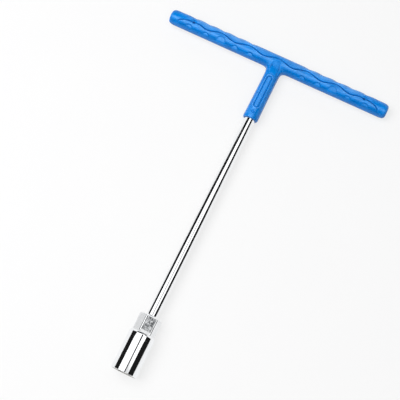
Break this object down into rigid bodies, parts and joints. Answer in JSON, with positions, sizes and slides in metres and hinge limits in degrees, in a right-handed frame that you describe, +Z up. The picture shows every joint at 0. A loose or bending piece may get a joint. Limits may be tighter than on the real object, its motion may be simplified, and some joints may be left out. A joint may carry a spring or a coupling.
{
  "type": "t socket wrench",
  "caption": "Rigid T-handle socket wrench: moulded blue vinyl grip over a welded steel T, chromed round shaft, forged deep socket with a hex neck and a six-point drive.",
  "frame": {"origin": "middle of the underside, with the wrench lying flat on its socket's barrel", "axes": "+X along the handle, +Y from the socket's mouth to the handle, +Z up out of the front of the wrench"},
  "size_m": [0.205, 0.3, 0.0226],
  "materials": {
    "chrome_plate": "polished",
    "core_steel": "as drawn",
    "weld_steel": "as welded",
    "blue_vinyl": "moulded, satin"
  },
  "bodies": {
    "root": {"socket": "chrome_plate", "socket_weld": "chrome_plate", "shaft": "chrome_plate", "crossbar": "core_steel", "crossbar_weld_left": "weld_steel", "crossbar_weld_right": "weld_steel", "grip": "blue_vinyl"}
  },
  "joints": []
}
